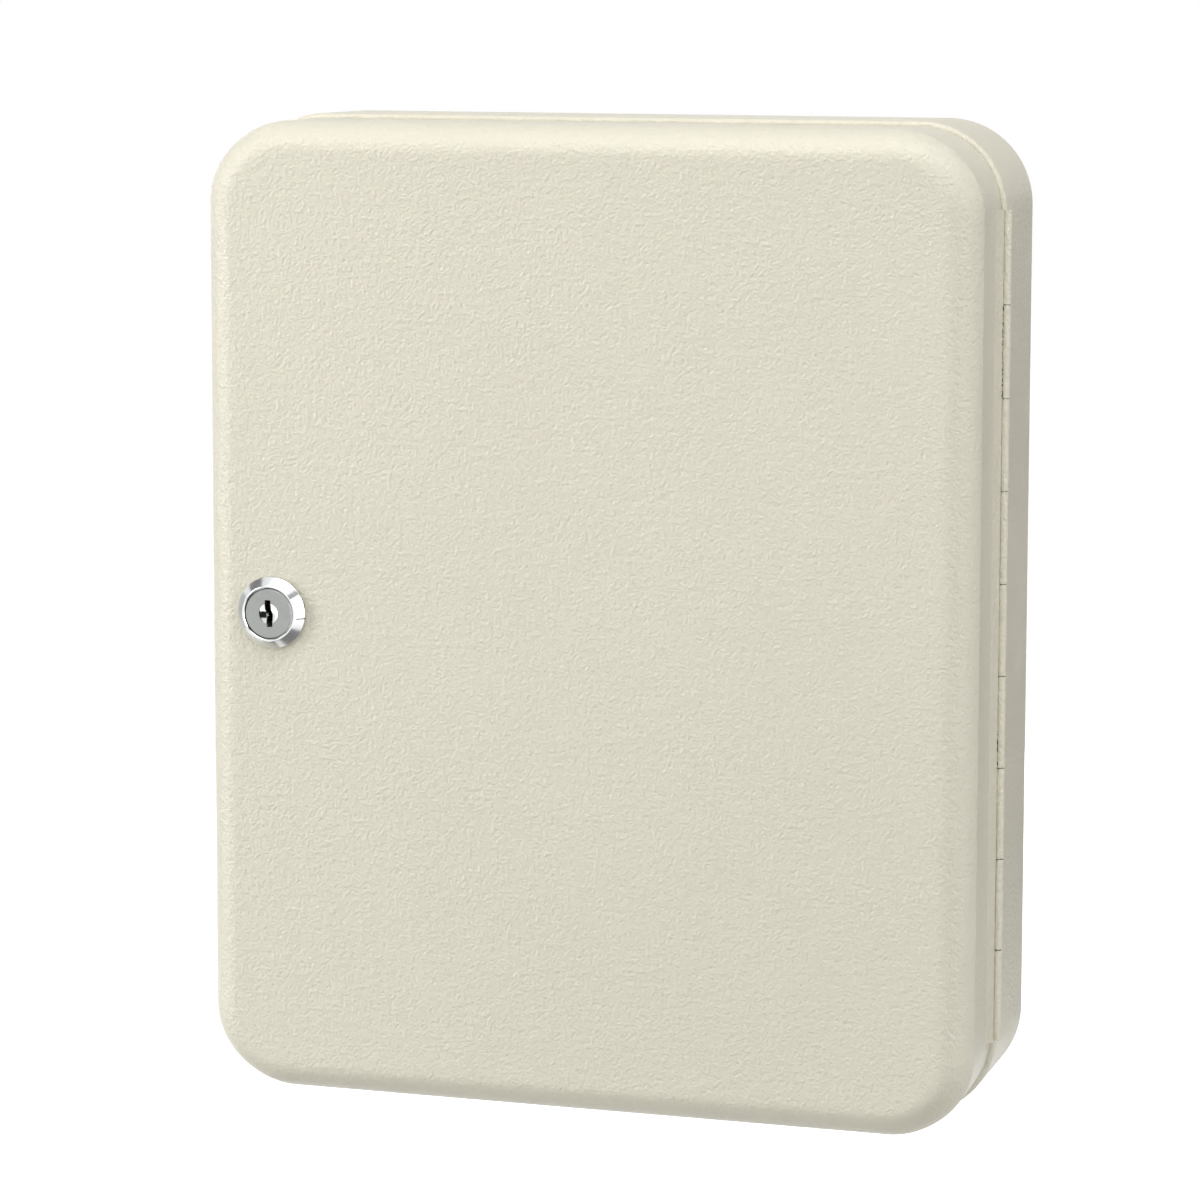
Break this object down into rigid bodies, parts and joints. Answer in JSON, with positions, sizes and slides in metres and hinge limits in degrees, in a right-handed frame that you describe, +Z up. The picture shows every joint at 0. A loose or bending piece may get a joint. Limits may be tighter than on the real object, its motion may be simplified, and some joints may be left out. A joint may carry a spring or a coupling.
{
  "type": "key cabinet",
  "caption": "Wall-hung steel key cabinet with rounded corners, a tray door on a piano hinge, a wafer cam lock and bars of key hooks.",
  "frame": {"origin": "centre of the back face, on the wall", "axes": "+X to the hinge side (right, seen from the front), +Y into the wall, +Z up; the door front faces -Y"},
  "size_m": [0.2425, 0.0832, 0.3],
  "materials": {
    "ivory_paint": "fine textured powder coat, satin",
    "plain_steel": "bright drawn wire",
    "zinc_steel": "zinc plated",
    "bright_chrome": "polished chrome plate",
    "satin_nickel": "satin nickel plate",
    "brass": "stamped brass",
    "spring_steel": "spring wire",
    "label_card": "matt white strip with plain numbers"
  },
  "bodies": {
    "cabinet_body": {"body_shell": "ivory_paint", "side_wall": "ivory_paint", "front_frame": "ivory_paint", "body_hinge_leaf": "ivory_paint", "hinge_pin": "plain_steel", "back_hook_bar_1": "ivory_paint", "back_hook_bar_2": "ivory_paint", "back_hook_bar_3": "ivory_paint", "back_hook_bar_4": "ivory_paint", "back_hook_bar_5": "ivory_paint", "back_hook_bar_6": "ivory_paint", "back_label_strip_1": "label_card", "back_label_strip_2": "label_card", "back_label_strip_3": "label_card", "back_label_strip_4": "label_card", "back_label_strip_5": "label_card", "back_label_strip_6": "label_card"},
    "door": {"door_shell": "ivory_paint", "door_skirt": "ivory_paint", "door_hinge_leaf": "ivory_paint", "door_hook_bar_1": "ivory_paint", "door_hook_bar_2": "ivory_paint", "door_hook_bar_3": "ivory_paint", "door_hook_bar_4": "ivory_paint", "door_label_strip_1": "label_card", "door_label_strip_2": "label_card", "door_label_strip_3": "label_card", "door_label_strip_4": "label_card", "lock_housing": "bright_chrome", "lock_nut": "zinc_steel"},
    "plug": {"lock_plug": "satin_nickel", "lock_cam": "zinc_steel", "cam_washer": "zinc_steel", "cam_screw": "zinc_steel", "wafer_spring_1": "spring_steel", "wafer_spring_2": "spring_steel", "wafer_spring_3": "spring_steel", "wafer_spring_4": "spring_steel"},
    "wafer_1": {"wafer_1": "brass"},
    "wafer_2": {"wafer_2": "brass"},
    "wafer_3": {"wafer_3": "brass"},
    "wafer_4": {"wafer_4": "brass"}
  },
  "joints": [
    {"name": "door_hinge", "type": "hinge", "parent": "cabinet_body", "child": "door", "pos_m": [0.1209, -0.045, 0], "axis": [0, 0, 1], "range_deg": [0, 180]},
    {"name": "plug_turn", "type": "hinge", "parent": "door", "child": "plug", "pos_m": [-0.0977, -0.08, 0], "axis": [0, 1, 0], "range_deg": [0, 90]},
    {"name": "wafer_slide_1", "type": "slide", "parent": "plug", "child": "wafer_1", "axis": [0, 0, 1], "range_m": [0, 0.0008], "deforming": ["wafer_spring_1"]},
    {"name": "wafer_slide_2", "type": "slide", "parent": "plug", "child": "wafer_2", "axis": [0, 0, 1], "range_m": [0, 0.0008], "deforming": ["wafer_spring_2"]},
    {"name": "wafer_slide_3", "type": "slide", "parent": "plug", "child": "wafer_3", "axis": [0, 0, 1], "range_m": [0, 0.0008], "deforming": ["wafer_spring_3"]},
    {"name": "wafer_slide_4", "type": "slide", "parent": "plug", "child": "wafer_4", "axis": [0, 0, 1], "range_m": [0, 0.0008], "deforming": ["wafer_spring_4"]}
  ]
}
